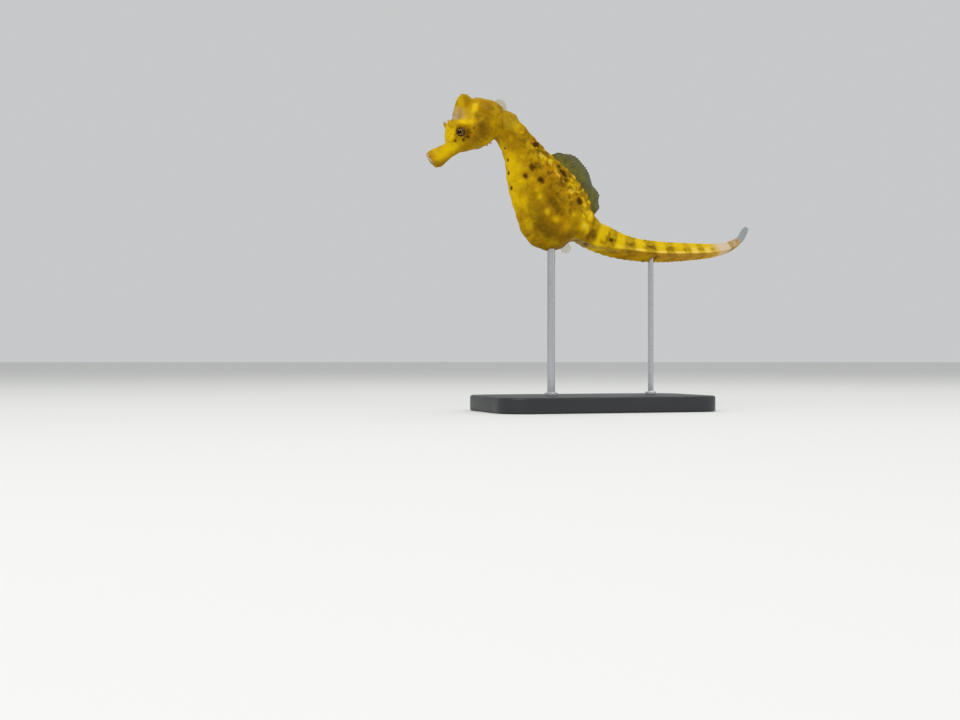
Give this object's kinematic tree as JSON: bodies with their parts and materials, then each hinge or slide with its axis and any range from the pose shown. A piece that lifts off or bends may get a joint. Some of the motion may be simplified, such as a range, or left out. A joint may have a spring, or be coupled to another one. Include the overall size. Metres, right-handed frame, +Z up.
{
  "type": "seahorse",
  "caption": "Life-size seahorse model, swimming with a bent neck, deep ringed belly and trailing tail, held on a flat base by thin rods.",
  "frame": {"origin": "on the floor, under the middle of the box round the animal and its stand", "axes": "-X is the way the animal faces, +X runs back along its tail, +Y is its right side, +Z is up"},
  "size_m": [0.1518, 0.0562, 0.1191],
  "materials": {
    "skin": "damp golden-yellow skin over bony rings, with ochre shading, brown-black spots and pale knobs",
    "eye": "clear wet eyeball with a dark pupil and a brown and gold iris",
    "fin": "thin see-through olive membrane on fine rays",
    "base": "satin charcoal",
    "rod": "polished steel wire"
  },
  "bodies": {
    "root": {"head": "skin", "snout": "skin", "coronet": "skin", "gill_cover_left": "skin", "gill_cover_right": "skin", "eye_left": "eye", "eye_right": "eye", "neck": "skin", "trunk_upper": "skin", "trunk_lower": "skin", "tail_1": "skin", "tail_2": "skin", "tail_3": "skin", "tail_4": "skin", "tail_5": "skin", "dorsal_fin": "fin", "pectoral_fin_left": "fin", "pectoral_fin_right": "fin", "anal_fin": "fin", "stand_base": "base", "stand_rod_front": "rod", "stand_rod_rear": "rod"}
  },
  "joints": []
}
